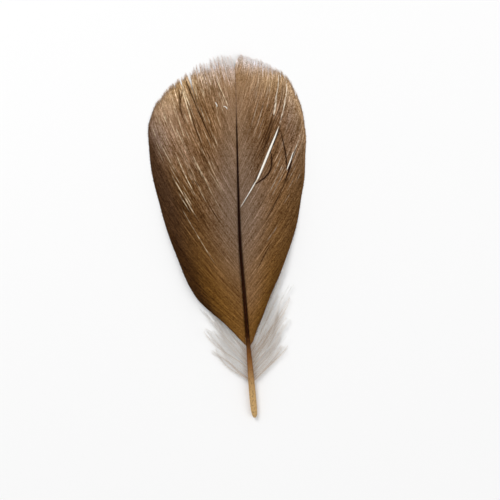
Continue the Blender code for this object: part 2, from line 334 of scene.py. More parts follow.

# Painted highlights as pale lines (above 0) and painted shadows as dark lines, along barbs and in splits: Y of
# the root at the start and the end, t from and to, spread in mm of root, strength.
GLINT_AND_SHADOW_LINES = {
    -1: (
        (63.5, 64.6, 0.60, 0.90, 0.18, 1.5), (65.3, 65.2, 0.66, 0.92, 0.14, 0.9),
        (57.5, 58.3, 0.62, 0.72, 0.14, 1.2), (56.0, 55.9, 0.55, 0.72, 0.15, 0.9),
        (54.6, 54.9, 0.58, 0.80, 0.13, 0.5), (50.4, 49.2, 0.72, 1.00, 0.13, 0.40),
        (51.9, 51.7, 0.74, 0.96, 0.13, 0.40), (53.2, 53.9, 0.70, 0.94, 0.13, 0.35),
        (48.9, 48.6, 0.68, 0.90, 0.13, 0.4), (89.6, 85.8, 0.34, 0.70, 0.34, 1.8),
        (62.6, 64.2, 0.20, 0.58, 0.16, 0.5), (38.2, 40.8, 0.26, 0.50, 0.12, 0.7),
        (49.4, 50.8, 0.40, 0.62, 0.15, 1.2), (57.6, 57.6, 0.33, 0.50, 0.10, 1.2),
        (56.2, 57.5, 0.18, 0.37, 0.11, 0.55), (47.1, 46.9, 0.58, 0.78, 0.17, 0.5),
        (44.6, 44.6, 0.41, 0.61, 0.10, 1.0), (62.3, 60.9, 0.20, 0.40, 0.11, 0.45),
        (55.7, 56.2, 0.30, 0.41, 0.12, -0.8), (43.8, 43.9, 0.42, 0.60, 0.16, -0.9),
        (46.3, 46.9, 0.42, 0.52, 0.11, 0.45), (52.4, 53.0, 0.46, 0.62, 0.12, 0.5),
        (53.5, 54.0, 0.44, 0.58, 0.14, 0.5), (57.0, 57.4, 0.38, 0.50, 0.14, 0.5),
        (58.4, 59.4, 0.70, 0.88, 0.14, 0.4), (69.9, 69.0, 0.40, 0.66, 0.26, -1.7),
        (69.1, 67.4, 0.60, 0.98, 0.26, -1.5), (60.4, 61.6, 0.66, 0.82, 0.19, -1.2),
        (61.5, 63.0, 0.78, 0.90, 0.19, -1.2), (63.5, 64.3, 0.41, 0.66, 0.20, -1.6),
        (88.7, 84.9, 0.40, 0.74, 0.34, -1.4), (63.4, 64.9, 0.24, 0.46, 0.15, -0.6),
    ),
    1: (
        (69.6, 71.7, 0.55, 0.72, 0.40, 1.2), (71.5, 72.5, 0.68, 0.96, 0.26, 1.2),
        (65.2, 66.6, 0.61, 0.76, 0.20, 1.8), (66.5, 67.8, 0.72, 1.00, 0.18, 1.5),
        (76.5, 78.1, 0.32, 0.58, 0.18, 0.5), (75.0, 77.5, 0.55, 0.85, 0.16, 0.5),
        (80.6, 81.4, 0.30, 0.62, 0.14, 0.4), (84.0, 86.0, 0.50, 0.90, 0.18, 0.4),
        (54.4, 55.2, 0.58, 0.80, 0.16, 0.8), (52.6, 53.0, 0.56, 0.74, 0.14, 0.5),
        (67.0, 69.4, 0.34, 0.58, 0.85, -0.80), (69.8, 70.2, 0.36, 0.60, 0.40, -1.1),
        (64.6, 68.9, 0.59, 0.66, 0.24, -1.0), (68.4, 69.6, 0.64, 0.90, 0.22, -0.8),
        (61.9, 63.0, 0.40, 0.56, 0.26, -0.6), (50.4, 52.0, 0.30, 0.57, 0.28, -1.1),
        (47.3, 50.0, 0.22, 0.36, 0.22, -0.6), (56.0, 56.9, 0.37, 0.53, 0.15, 0.6),
        (53.8, 54.9, 0.38, 0.54, 0.15, 0.5), (58.3, 58.8, 0.40, 0.54, 0.13, 0.35),
        (41.0, 42.9, 0.21, 0.37, 0.22, -1.5), (63.8, 64.2, 0.05, 0.30, 0.18, -0.3),
    ),
}

# Broad soft lighter, darker and greyer zones: pixel of the middle, its two half sizes in pixels, the direction
# of the first one in degrees from the photograph's right towards its top, how much lighter it is, how much
# greyer.
ZONES = (
    (164, 110, 40, 20, 115, 0.18, 0.2),
    (157, 138, 22, 10, 110, 0.04, 0.6),
    (184, 126, 38, 11, 115, 0.27, 0),
    (208, 148, 18, 9, 115, -0.14, 0),
    (180, 93, 14, 9, 100, -0.26, 0),
    (203, 208, 68, 14, 105, -0.28, 0),
    (186, 160, 22, 12, 115, -0.01, 0.18),
    (202, 168, 28, 9, 85, -0.17, 0),
    (184, 206, 12, 7, 115, -0.26, 0),
    (218, 270, 34, 13, 100, 0.12, 0),
    (206, 84, 12, 12, 0, -0.12, 0.15),
    (224, 98, 18, 9, 100, 0.1, 0.2),
    (266, 145, 30, 9, 70, -0.46, 0),
    (253, 126, 22, 9, 75, -0.23, 0),
    (254, 87, 26, 12, 80, 0.17, 0.12),
    (248, 266, 36, 12, 80, 0.09, 0),
    (254, 296, 22, 9, 75, 0.15, 0.08),
    (292, 112, 44, 12, 95, -0.08, 0.35),
)


def zone_fields(points):
    """How much lighter and how much greyer the vane is at each point."""
    lighter, greyer = np.zeros(points.shape[:2]), np.zeros(points.shape[:2])
    for x, y, long, short, degrees, light, grey in ZONES:
        centre = pixel_point(x, y)
        dx = (points[..., 0] - centre[0]) * PIXELS_PER_MM
        dy = (points[..., 1] - centre[1]) * PIXELS_PER_MM
        angle = math.radians(degrees)
        run = dx * math.cos(angle) + dy * math.sin(angle)
        off = dy * math.cos(angle) - dx * math.sin(angle)
        share = np.exp(-((run / long) ** 2) - (off / short) ** 2)
        lighter += light * share
        greyer += grey * share
    return lighter, np.clip(greyer, 0, 1)


def fringe_length(side, roots):
    """How much of each barb's end is loose, in mm: little along the sides and more round the tip."""
    if side < 0:
        return 0.8 + 1.7 * ease(45, 58, roots) + 1.3 * ease(66, 80, roots) + 0.4 * ease(86, 102, roots)
    return 0.8 + 1.5 * ease(48, 61, roots) + 0.8 * ease(64, 80, roots) - 1.6 * ease(92, 102, roots)


def uneven_ends(side, roots, chance):
    """How far each barb ends past the vane's outline, in shares of its loose end."""
    each = (BARBS, 1)
    # Most ends fall a little short, and a few hairs stand out.
    uneven = -0.14 * chance.exponential(1.0, each) + 0.06
    hairs = chance.uniform(0.3, 0.75, each) * (chance.random(each) < 0.22)
    uneven += hairs * ease(58, 70, roots) * (side < 0)
    uneven -= 0.08 * ease(60, 76, roots) * (1 - ease(84, 96, roots)) * (side > 0)
    hairs = chance.uniform(0.1, 0.45, each) * (chance.random(each) < 0.3)
    uneven += hairs * ease(66, 80, roots) * (side > 0)
    return uneven


def between(t, begin, end):
    """0 to 1 over a stretch of t."""
    return np.clip((t - begin) / (end - begin), 0, 1)


def swell(share, power):
    """0 at both ends of a stretch and 1 at its middle. The lower the power, the longer it stays near 1."""
    return np.sin(np.pi * share) ** power


def slit_push(side, roots, t):
    """How far the slits push each barb towards the vane's tip or base."""
    push = np.zeros(t.shape)
    for root, begin, end, wide, giving in SLITS[side]:
        away = np.arange(BARBS)[:, None] - np.interp(root, roots[:, 0], np.arange(BARBS))
        opened = ease(begin, 1.0, t) ** 0.8 if end > 1 else swell(between(t, begin, end), 0.7)
        push += 0.5 * wide * np.sign(away) * np.exp(-np.abs(away) / giving) * opened
    return push


def glint_shadow_and_streaks(side, roots, t, corner, chance):
    """Strength of the painted highlights (pale lines and glints) and painted shadows (dark lines and cracks) at
    each corner, and of the streaks on the ridges.
    """
    # Lines are drawn by where each corner's own root would be, so they cross from barb to barb without a break.
    own_root = roots[..., None] + corner * (0.5 * OVERLAP) * np.gradient(roots, axis=0)[..., None]
    t = t[..., None]
    glint_and_shadow = np.zeros(t.shape[:2] + corner.shape)
    for start, stop, begin, end, spread, strength in GLINT_AND_SHADOW_LINES[side]:
        share = between(t, begin, end)
        centre = start + (stop - start) * share
        glint_and_shadow += strength * swell(share, 0.45) * np.exp(-(((own_root - centre) / spread) ** 2))
    # Short painted glints and painted shade in cracks along single barbs, most of them in the outer half.
    for _ in range(GLINTS[side]):
        centre, begin = chance.uniform(42, 92), chance.uniform(0.30, 0.84)
        end = begin + chance.uniform(0.05, 0.13)
        strength = chance.uniform(0.25, 0.75) if chance.random() < 0.66 else -chance.uniform(0.3, 0.8)
        strength *= 1.0 if side < 0 else 0.55
        near = np.exp(-(((own_root - centre) / GLINT_SPREAD) ** 2))
        glint_and_shadow += strength * swell(between(t, begin, end), 0.6) * near
    # Fine pale and dark streaks along the ridges of single barbs.
    streak = np.zeros_like(glint_and_shadow)
    for _ in range(STREAKS):
        i = int(chance.integers(0, BARBS))
        begin = chance.uniform(-0.05, 0.9)
        end = begin + chance.uniform(0.05, 0.26)
        strength = chance.normal(0.06, 0.22) * (1.2 if side < 0 else 1.0)
        streak[i] += strength * swell(between(t[i], begin, end), 0.8) * (1 - np.abs(corner))
    return glint_and_shadow, streak


# Corners of a web's cross-section, across it and over it: thin edges, a ridge that carries a painted highlight
# and a rib below.
WEB_PROFILE = ((-1, 0.0), (-0.28, 0.16), (0.0, 1.0), (0.28, 0.16), (1, 0.0), (0.0, -0.9))


def make_vane(side, seed):
    """One vane of overlapping webs, and what make_fringe needs of its barbs."""
    chance = np.random.default_rng(seed)
    share = np.linspace(0, 1, BARBS)[:, None]
    span = VANE_TOP - VANE_BASE
    roots = VANE_BASE + span * (0.75 * share + 0.25 * share**2)
    lock, place, lock_size = barb_locks(chance)
    locks = lock[-1] + 1
    barb_random = chance.random((BARBS, 1))
    lock_random = chance.random((locks, 1))[lock]

    # Steps crowd towards the barb's end, where it curls and frays.
    plain = np.linspace(0, 1, BARB_STEPS)
    run = plain * (1.35 - 0.35 * plain)
    _, length = vane_paths(side, roots, run)
    fringe = fringe_length(side, roots)
    reach = 1 + (uneven_ends(side, roots, chance) - 0.06 * place**2) * fringe / length
    reach += (chance.random((locks, 1))[lock] - 0.5) * 0.12 * fringe / length
    t = run * reach
    points, length = vane_paths(side, roots, t)

    # flat_side points towards the tip's side of each barb. The gap to the next barb is measured along it.
    flat_side = level_axes(along_slope(points))[0] * -side
    gap = np.abs((np.gradient(points, axis=0) * flat_side).sum(-1))
    gap = np.clip(gap, NARROWEST_GAP, WIDEST_GAP)

    # Barbs of one lock lean together where they are loose. Single barbs wander, and slits push them apart.
    to_end = (reach - t) * length
    loose = 1 - ease(0, 1, to_end / (1.6 * fringe))
    lean = -place * (lock_size * 0.5) * gap * LEAN * loose**1.5 * ease(0.6, 3.0, fringe)
    wander = chance.normal(0, 1, (BARBS, 1)) * (0.03 + 0.05 * fringe) * loose**2
    wave = 0.10 * np.sin(0.9 * roots + 9 * t) * ease(0.1, 0.5, t)
    moved = lean + wander + slit_push(side, roots, t) + wave
    points = points + flat_side * moved[..., None]

    # Locks are slightly arched across, and each lies at its own height.
    crest = LOCK_ARCH * (1 - place**2) * ease(0.05, 0.5, t)
    level = LOCK_LEVELS * (lock_random - 0.5) * ease(0.2, 0.9, t)
    curl = END_CURL * (barb_random - 0.3) * loose**3
    points[..., 2] += crest + level + curl
    points[..., 2] = np.maximum(points[..., 2], LOWEST_BARB + 0.05 * barb_random)

    # Each web is wider than the gap and lies over its neighbour like a roof tile.
    worn = ease(0, 1, to_end / fringe)
    width = gap * OVERLAP * ease(0.45, 1.6, to_end / fringe)
    width *= 0.5 + 0.5 * ease(0, 0.02, t)
    width = np.maximum(width, 0.050 + 0.035 * worn)
    thick = 0.045 + 0.030 * (1 - t)
    uneven_tilt = BARB_TILTS * (barb_random - 0.5) + LOCK_TILTS * (lock_random - 0.5) * ease(0.1, 0.6, t)
    tilt = np.radians(WEB_TILT + uneven_tilt * (1.0 if side < 0 else 0.75))[..., None]
    ahead = along_slope(points)
    across = unit(flat_side - ahead * (flat_side * ahead).sum(-1, keepdims=True))
    up = np.cross(ahead, across)
    up *= np.sign(up[..., 2:3])
    leaned = across * np.cos(tilt) + up * np.sin(tilt)
    up = up * np.cos(tilt) - across * np.sin(tilt)

    # Ribbon corners run so that faces look outwards on both sides of the shaft.
    profile = WEB_PROFILE[::-1] if (np.cross(leaned, up) * ahead).sum() > 0 else WEB_PROFILE
    corner = np.array([x for x, _ in profile])
    glint_and_shadow, streak = glint_shadow_and_streaks(side, roots, t, corner, chance)
    lighter, greyer = zone_fields(points)
    attributes = {
        "along": t / reach,
        "lighter": lighter,
        "greyer": greyer,
        "root": (roots - VANE_BASE) / span,
        "barb_random": barb_random,
        "lock_random": lock_random,
        "glint_and_shadow": glint_and_shadow,
        "streak": streak,
        "loose": 1 - worn,
        "run_mm": t * length,
        "rank": np.arange(BARBS)[:, None],
        "end_mm": np.maximum(to_end, 0),
    }
    mesh = ribbons_mesh("vane_" + SIDES[side], points, leaned, up, profile, width, thick, attributes)
    barbs = {"points": points, "ahead": ahead, "side": flat_side, "to_end": to_end, "gap": gap}
    return mesh, barbs | {"fringe": fringe} | attributes


def spread_rank(counts):
    """0, 1, 2 ... within each group of the given sizes."""
    first = np.repeat(np.cumsum(counts) - counts, counts)
    return np.arange(len(first)) - first


def sample(values, barb, place):
    """Values (barbs, steps, ...) at fractional steps of the chosen barbs."""
    low = np.clip(np.floor(place).astype(int), 0, values.shape[1] - 2)
    share = (place - low).reshape((-1,) + (1,) * (values.ndim - 2))
    return values[barb, low] * (1 - share) + values[barb, low + 1] * share


THREE_SIDED = ((1, -0.5), (0.0, 1.0), (-1, -0.5))
LOWEST_BARBULE = 0.05
# Barbules of the fringe: their spacing, and their width and thickness from root to end, in mm.
FRINGE_SPACING = 0.15
FRINGE_WIDTH, FRINGE_THICK = np.array((0.046, 0.038, 0.018)), np.array((0.016, 0.013, 0.008))


def make_fringe(side, vane, seed):
    """Unhooked barbules on the loose end of each barb, which blur the vane's outline."""
    chance = np.random.default_rng(seed)
    counts = np.maximum((vane["fringe"][:, 0] * 1.3 / FRINGE_SPACING).astype(int), 3)
    barb = np.repeat(np.arange(BARBS), counts)
    total = len(barb)
    from_end = (spread_rank(counts) + chance.random(total)) * FRINGE_SPACING
    # Steps crowd towards the end, so the step that lies that far from it is looked up.
    place = np.empty(total)
    for i in range(BARBS):
        chosen = barb == i
        place[chosen] = np.interp(-from_end[chosen], -vane["to_end"][i], np.arange(BARB_STEPS))
    base = sample(vane["points"], barb, place)
    ahead = sample(vane["ahead"], barb, place)
    flat = sample(vane["side"], barb, place)
    out = []
    for sign in (-1, 1):
        angle = np.radians(chance.normal(34, 7, total))[:, None]
        whole = np.clip(from_end / vane["fringe"][barb, 0], 0, 1)
        longest = np.minimum(0.85, (1.3 if side < 0 else 1.6) * sample(vane["gap"], barb, place))
        length = (0.10 + longest * whole**1.3 + chance.normal(0, 0.04, total))[:, None]
        heading = ahead * np.cos(angle) + sign * flat * np.sin(angle)
        lift = chance.normal(0.0, 0.10, total)
        steps = []
        for share in (0.0, 0.5, 1.0):
            run = (heading * share + ahead * 0.16 * share**2) * length
            steps.append(base + run + np.outer(lift * share, UPWARD))
        out.append(np.stack(steps, 1))
    points = np.concatenate(out)
    points[..., 2] = np.maximum(points[..., 2], LOWEST_BARBULE)
    lighter, greyer = zone_fields(points)
    across, up = level_axes(along_slope(points))
    barbs = np.tile(barb, 2)
    from_end = np.tile(from_end, 2)[:, None]
    none = np.zeros((1, 1))
    attributes = {
        "along": none + 1,
        "lighter": lighter,
        "greyer": greyer,
        "root": vane["root"][barbs],
        "barb_random": vane["barb_random"][barbs],
        "lock_random": vane["lock_random"][barbs],
        "glint_and_shadow": none,
        "streak": none,
        "loose": 1 - ease(0, 1, from_end / vane["fringe"][barbs]),
        "run_mm": from_end,
        "rank": vane["rank"][barbs],
        "end_mm": from_end,
    }
    name = "fringe_" + SIDES[side]
    return ribbons_mesh(name, points, across, up, THREE_SIDED, FRINGE_WIDTH, FRINGE_THICK, attributes)


SHAFT_SIDES, SHAFT_STATIONS = 20, 190
GROOVE_START = 24.0
# The shaft runs on past the last barb by this much, and the quill's end is rounded over the same length.
SHAFT_PAST = 0.9
# The pit in the quill's blunt end: share of the first ring's size, depth in mm, and how dark the painted shade
# in it is.
PIT = ((0.30, 0.75, 1.0), (0.42, 0.20, 0.9), (0.62, 0.02, 0.4))


def make_shaft():
    """Round hollow quill that turns into a grooved, tapering shaft. Its end is open by a small pit."""
    y = np.concatenate([np.linspace(0, 2.0, 14)[:-1], np.linspace(2.0, VANE_TOP + SHAFT_PAST, SHAFT_STATIONS)])
    x, z, radius = smooth(SHAFT, np.minimum(y, VANE_TOP))
    past = np.maximum(y - VANE_TOP, 0)
    radius = radius * (1 - 0.8 * past / SHAFT_PAST)
    z = z - 0.18 * past
    # The quill's end is rounded off.
    radius = radius * np.sqrt(np.clip(1 - (1 - np.clip(y / SHAFT_PAST, 0, 1)) ** 2 * 0.55, 0, 1))
    x, y, z, radius = x[:, None], y[:, None], z[:, None], radius[:, None]
    angle = np.linspace(0, 2 * math.pi, SHAFT_SIDES, endpoint=False)
    grooved = ease(GROOVE_START - 4, GROOVE_START + 6, y) * ease(VANE_TOP + 2, VANE_TOP - 20, y)
    under = np.exp(-(((angle - 1.5 * math.pi) / 0.42) ** 2))
    shape = 1 - 0.42 * grooved * under
    high = 1 + 0.10 * grooved * np.maximum(np.sin(angle), 0)
    knobs = 1 + 0.012 * np.sin(y * 2.3) * np.cos(3 * angle + y * 0.2)
    px = x + radius * np.cos(angle) * shape * knobs
    pz = z + radius * np.sin(angle) * shape * high * knobs
    pz = np.maximum(pz, 0.03)
    rings = np.stack([px, np.broadcast_to(y, px.shape), pz], -1)
    centre = np.array((x[0, 0], 0.0, z[0, 0]))
    pit = []
    for share, depth, _ in PIT:
        ring = centre + (rings[0] - centre) * share
        ring[:, 1] = depth
        pit.append(ring)
    rings = np.concatenate([np.array(pit), rings])
    verts = ((rings + np.array(SHIFT)) * MM).reshape(-1, 3)
    count = len(rings)
    faces = []
    for a in range(0, (count - 1) * SHAFT_SIDES, SHAFT_SIDES):
        b = a + SHAFT_SIDES
        for j in range(SHAFT_SIDES):
            k = (j + 1) % SHAFT_SIDES
            faces.append((a + j, b + j, b + k, a + k))
    faces.append(tuple(range(SHAFT_SIDES)))
    faces.append(tuple((count - 1) * SHAFT_SIDES + j for j in reversed(range(SHAFT_SIDES))))
    mesh = bpy.data.meshes.new("shaft")
    mesh.from_pydata(verts.tolist(), [], faces)
    mesh.validate()
    for polygon in mesh.polygons:
        polygon.use_smooth = True
    station = np.concatenate([np.zeros(len(PIT)), y[:, 0]])
    darkness = np.concatenate([[dark for _, _, dark in PIT], np.zeros(len(y))])
    add_field(mesh, "y_mm", np.repeat(station, SHAFT_SIDES))
    add_field(mesh, "turn", np.tile(angle, count))
    add_field(mesh, "pit", np.repeat(darkness, SHAFT_SIDES))
    return mesh


DOWN_BASE, DOWN_TOP = 11.3, 24.5
DOWN_BARBS, DOWN_STEPS = 54, 26
# Barbules of the down: their spacing, and their width from root to end, in mm.
DOWN_SPACING = 0.29
DOWN_WIDTH = np.array((0.036, 0.032, 0.026, 0.014))


def down_stems(side, share, chance):
    """Curved paths of the down's barbs, and their lengths. share is 0 for the lowest and 1 for the highest."""
    each = (DOWN_BARBS, 1)
    root_y = DOWN_BASE + (DOWN_TOP - DOWN_BASE) * share
    root_x, root_z, root_r = smooth(SHAFT, root_y)
    length = (15.0 + 13.5 * share) * chance.uniform(0.78, 1.05, each)
    angle = (58 if side < 0 else 51) - 26 * share + chance.normal(0, 5, each)
    bend = chance.uniform(2, 26, each)
    s = np.linspace(0, 1, DOWN_STEPS)
    sway = chance.normal(0, 10, each) * np.sin(math.pi * 1.6 * s + chance.uniform(0, 6, each))
    heading = np.radians(angle - bend * s + sway * s)
    dx, dy = side * np.sin(heading), np.cos(heading)
    step = length / (DOWN_STEPS - 1)
    px = root_x + side * 0.6 * root_r + np.cumsum(dx * step, 1) - dx * step
    py = root_y + np.cumsum(dy * step, 1) - dy * step
    rest = chance.uniform(0.25, 1.5, each)
    pz = rest + (root_z - rest) * (1 - s) ** 1.6
    pz = pz + 0.25 * np.sin(5 * s + chance.uniform(0, 6, each)) * s
    return np.stack([px, py, np.maximum(pz, 0.15)], -1), length[:, 0]


def make_down(side, seed):
    """Long soft barbs at the base, each a thin stem with two rows of fine barbules."""
    chance = np.random.default_rng(seed)
    share = (np.arange(DOWN_BARBS) + chance.uniform(-0.4, 0.4, DOWN_BARBS)) / (DOWN_BARBS - 1)
    points, length = down_stems(side, np.clip(share, 0, 1)[:, None], chance)
    ahead = along_slope(points)
    across, up = level_axes(ahead)
    s = np.linspace(0, 1, DOWN_STEPS)[None]
    width = 0.15 - 0.10 * s
    random = chance.random((DOWN_BARBS, 1))
    attributes = {"along": s, "barb_random": random}
    stems = ribbons_mesh("stems", points, across, up, THREE_SIDED, width, width * 0.4, attributes)

    counts = (length * 0.96 / DOWN_SPACING).astype(int)
    barb = np.repeat(np.arange(DOWN_BARBS), counts)
    n = len(barb)
    at = (spread_rank(counts) + chance.random(n) * 0.9) * DOWN_SPACING / length[barb] + 0.03
    place = np.clip(at, 0, 0.995) * (DOWN_STEPS - 1)
    base, fore = sample(points, barb, place), sample(ahead, barb, place)
    flat = sample(across, barb, place)
    fullness = 0.55 + 0.45 * np.sin(math.pi * np.clip(at, 0, 1)) ** 0.6
    out = []
    for sign in (-1, 1):
        open_angle = np.radians(chance.normal(36, 9, n))[:, None]
        twist = np.radians(chance.normal(0, 28, n))[:, None]
        reach = (chance.normal(1.00, 0.26, n) * fullness)[:, None]
        outward = flat * sign * np.cos(twist) + UPWARD * np.sin(twist)
        curl = chance.normal(0.25, 0.25, n)[:, None]
        rows = []
        for part in (0.0, 0.38, 0.72, 1.0):
            turn = open_angle * (1 - curl * part)
            rows.append(base + (fore * np.cos(turn) + outward * np.sin(turn)) * reach * part)
        out.append(np.stack(rows, 1))
    fine = np.concatenate(out)
    fine[..., 2] = np.maximum(fine[..., 2], LOWEST_BARBULE)
    # Some of these stand upright, so their sides are measured from a direction that is just off it.
    across, up = level_axes(along_slope(fine), UPWARD + 0.001)
    attributes = {"along": np.tile(at, 2)[:, None], "barb_random": np.tile(random[barb], (2, 1))}
    barbules = ribbons_mesh(
        "barbules", fine, across, up, THREE_SIDED, DOWN_WIDTH, DOWN_WIDTH * 0.5, attributes
    )
    return joined("down_" + SIDES[side], stems, barbules)


def joined(name, *meshes):
    """One mesh from several, with their attributes."""
    parts = []
    for mesh in meshes:
        part = bpy.data.objects.new("part", mesh)
        bpy.context.scene.collection.objects.link(part)
        parts.append(part)
    with bpy.context.temp_override(active_object=parts[0], object=parts[0], selected_editable_objects=parts):
        bpy.ops.object.join()
    mesh = parts[0].data
    bpy.data.objects.remove(parts[0])
    mesh.name = name
    return mesh


# Loose barbs and specks of fluff, and ribbons of painted light and painted shadow: white ribbons stand in for
# the bright gaps in the right vane's slits, a black one for the shadow beside a gap, and a bent brown one for a
# shadow
# line on the left vane. For each: the vane under it, its colour, how high it stands over the vane, and rows of
# a photograph pixel and the width there in mm.
STRANDS_SLIT_LIGHT_AND_SHADOW = {
    # Painted light: a white ribbon that stands in for the bright gap of the slit.
    "painted_slit_light": (1, "pale", 0.12, (
        (255.4, 183.6, 0.20), (258.0, 178.0, 0.52), (262.0, 168.6, 0.66), (267.4, 155.4, 0.74),
        (271.6, 145.0, 0.66), (275.4, 135.6, 0.50), (279.0, 125.6, 0.16),
    )),
    # Painted light: the slit's bright gap running on downwards.
    "painted_slit_light_low": (1, "pale", 0.10, (
        (239.6, 208.8, 0.06), (242.6, 204.0, 0.15), (248.4, 194.4, 0.26), (253.4, 186.0, 0.34),
        (256.6, 180.0, 0.16),
    )),
    "strand_curved": (1, "dark", 0.24, (
        (254.6, 184.6, 0.26), (259.6, 181.4, 0.36), (265.2, 177.2, 0.36), (269.6, 171.2, 0.36),
        (271.8, 162.6, 0.32), (271.2, 155.0, 0.26), (269.6, 149.6, 0.14),
    )),
    "strand_side": (1, "dark", 0.16, (
        (280.0, 129.0, 0.10), (283.0, 141.0, 0.26), (285.3, 152.0, 0.32), (286.3, 161.0, 0.28),
        (286.3, 168.0, 0.12),
    )),
    # Painted light: a white ribbon for a second bright gap.
    "painted_gap_light": (1, "pale", 0.18, (
        (293.2, 151.0, 0.10), (291.2, 158.0, 0.32), (288.4, 165.6, 0.36), (286.6, 170.6, 0.12),
    )),
    # Painted shadow: a black ribbon for the shadow beside that gap.
    "painted_gap_shadow": (1, "dark", 0.14, (
        (292.4, 158.8, 0.08), (291.2, 163.4, 0.40), (289.5, 168.4, 0.56), (287.9, 173.0, 0.40),
        (286.3, 178.0, 0.24), (284.5, 183.6, 0.08),
    )),
    # Painted shadow: a bent brown barb laid where the left vane has a dark shadow line.
    "painted_shadow_barb": (-1, "brown", 0.10, (
        (182.8, 87.0, 0.06), (181.6, 93.0, 0.24), (180.2, 99.6, 0.30), (179.8, 106.8, 0.34),
        (181.2, 113.4, 0.30), (183.8, 119.4, 0.22), (186.4, 124.4, 0.06),
    )),
    "fluff_one": (-1, "pale", 0.22, (
        (215.4, 101.6, 0.10), (216.0, 103.4, 0.30), (217.0, 105.0, 0.26), (216.6, 107.0, 0.10),
    )),
    "fluff_two": (-1, "pale", 0.24, (
        (223.0, 106.6, 0.08), (224.2, 106.2, 0.20), (225.6, 106.8, 0.30), (226.8, 108.0, 0.30),
        (227.0, 109.4, 0.10),
    )),
}


def rounded_path(knots, count):
    """A smooth path of count points through the knots."""
    knots = np.array(knots, float)
    run = np.concatenate([[0], np.cumsum(np.linalg.norm(np.diff(knots[:, :2], axis=0), axis=1))])
    return smooth(np.column_stack([run, knots]), np.linspace(0, run[-1], count)).T


def ribbon_over_vane(name, rows, above, surface):
    """A single ribbon that follows photograph pixels a little above the vane."""
    flat = rounded_path([(*pixel_point(x, y), wide) for x, y, wide in rows], 30)
    cloud = surface.reshape(-1, 3)
    heights = []
    for x, y, _ in flat:
        near = np.argsort((cloud[:, 0] - x) ** 2 + (cloud[:, 1] - y) ** 2)[:4]
        heights.append(cloud[near, 2].max())
    heights = np.convolve(np.pad(heights, 3, mode="edge"), np.ones(7) / 7, mode="valid")
    s = np.linspace(0, 1, len(flat))
    points = np.column_stack([flat[:, :2], heights + above * np.sin(math.pi * s) ** 0.5])[None]
    across, up = level_axes(along_slope(points))
    width = np.maximum(flat[:, 2], 0.06)[None]
    return ribbons_mesh(name, points, across, up, THREE_SIDED, width, width * 0.12, {"along": s[None]})


class Tree:
    """Short names for building a material's node tree."""

    def __init__(self, name):
        self.material = bpy.data.materials.new(name)
        self.material.use_nodes = True
        self.nodes = self.material.node_tree.nodes
        self.links = self.material.node_tree.links
        self.shader = self.nodes["Principled BSDF"]

    def new(self, kind, **values):
        node = self.nodes.new(kind)
        for key, value in values.items():
            setattr(node, key, value)
        return node

    def put(self, source, socket):
        """Links an output to the socket, or sets the socket's own value."""
        if hasattr(source, "is_output"):
            self.links.new(source, socket)
        else:
            socket.default_value = source

    def put_all(self, sources, sockets):
        for source, socket in zip(sources, sockets):
            self.put(source, socket)

    def field(self, name):
        return self.new("ShaderNodeAttribute", attribute_name=name).outputs["Fac"]

    def math(self, operation, a, b=0.0, clamp=False):
        node = self.new("ShaderNodeMath", operation=operation, use_clamp=clamp)
        self.put_all((a, b), node.inputs)
        return node.outputs[0]

    def times(self, a, b, clamp=False):
        return self.math("MULTIPLY", a, b, clamp)

    def plus(self, first, *others):
        for other in others:
            first = self.math("ADD", first, other)
        return first

    def swing(self, value, amount):
        """A value around a half, turned into one around zero."""
        return self.times(self.math("SUBTRACT", value, 0.5), amount)

    def span(self, value, low, high, out_low=0.0, out_high=1.0):
        """out_low where the value is low, out_high where it is high, and a smooth step between."""
        node = self.new("ShaderNodeMapRange", interpolation_type="SMOOTHSTEP")
        self.put_all((value, low, high, out_low, out_high), node.inputs)
        return node.outputs[0]

    def mix(self, share, a, b, blend="MIX"):
        node = self.new("ShaderNodeMix", data_type="RGBA", blend_type=blend)
        self.put_all((share, a, b), (node.inputs[0], node.inputs[6], node.inputs[7]))
        return node.outputs[2]

    def vector(self, x, y, z=0.0):
        node = self.new("ShaderNodeCombineXYZ")
        self.put_all((x, y, z), node.inputs)
        return node.outputs[0]

    def noise(self, vector, scale, detail, rough=0.5):
        node = self.new("ShaderNodeTexNoise")
        names = ("Vector", "Scale", "Detail", "Roughness")
        self.put_all((vector, scale, detail, rough), [node.inputs[name] for name in names])
        return node.outputs["Fac"]

    def grain(self, scale):
        """Noise through the piece's own space."""
        return self.noise(self.new("ShaderNodeTexCoord").outputs["Object"], scale, 2.0)

    def bump(self, height, strength, distance):
        node = self.new("ShaderNodeBump")
        names = ("Height", "Strength", "Distance")
        self.put_all((height, strength, distance), [node.inputs[name] for name in names])
        self.links.new(node.outputs["Normal"], self.shader.inputs["Normal"])

    def finished(self, colour, rough, specular):
        """The material, with its colour, roughness and gloss on the shader."""
        names = ("Base Color", "Roughness", "Specular IOR Level")
        self.put_all((colour, rough, specular), [self.shader.inputs[name] for name in names])
        return self.material


def srgb(red, green, blue):
    """A colour given in 0 to 255 display values."""

    def linear(v):
        v /= 255
        return v / 12.92 if v <= 0.04045 else ((v + 0.055) / 1.055) ** 2.4

    return (linear(red), linear(green), linear(blue), 1.0)


GREY_BROWN, WARM_BROWN, CROWN_TAN = srgb(125, 101, 81), srgb(127, 92, 58), srgb(159, 123, 86)
AMBER_BASE, PALE_EDGE, LILAC_GREY = srgb(122, 80, 20), srgb(204, 168, 122), srgb(166, 140, 122)
END_PALE, END_WHITE, LOOSE_WHITE = srgb(234, 214, 200), srgb(252, 246, 242), srgb(252, 244, 240)
# The last colour on the next line is painted shadow for dark lines and cracks, and the cream colours below it
# are painted glints for pale lines.
RIM_BLACK, RIM_BROWN, SHADOW_DARK = srgb(60, 34, 10), srgb(72, 48, 30), srgb(56, 30, 8)
GLINT_CREAM = {-1: srgb(250, 228, 192), 1: srgb(244, 228, 206)}
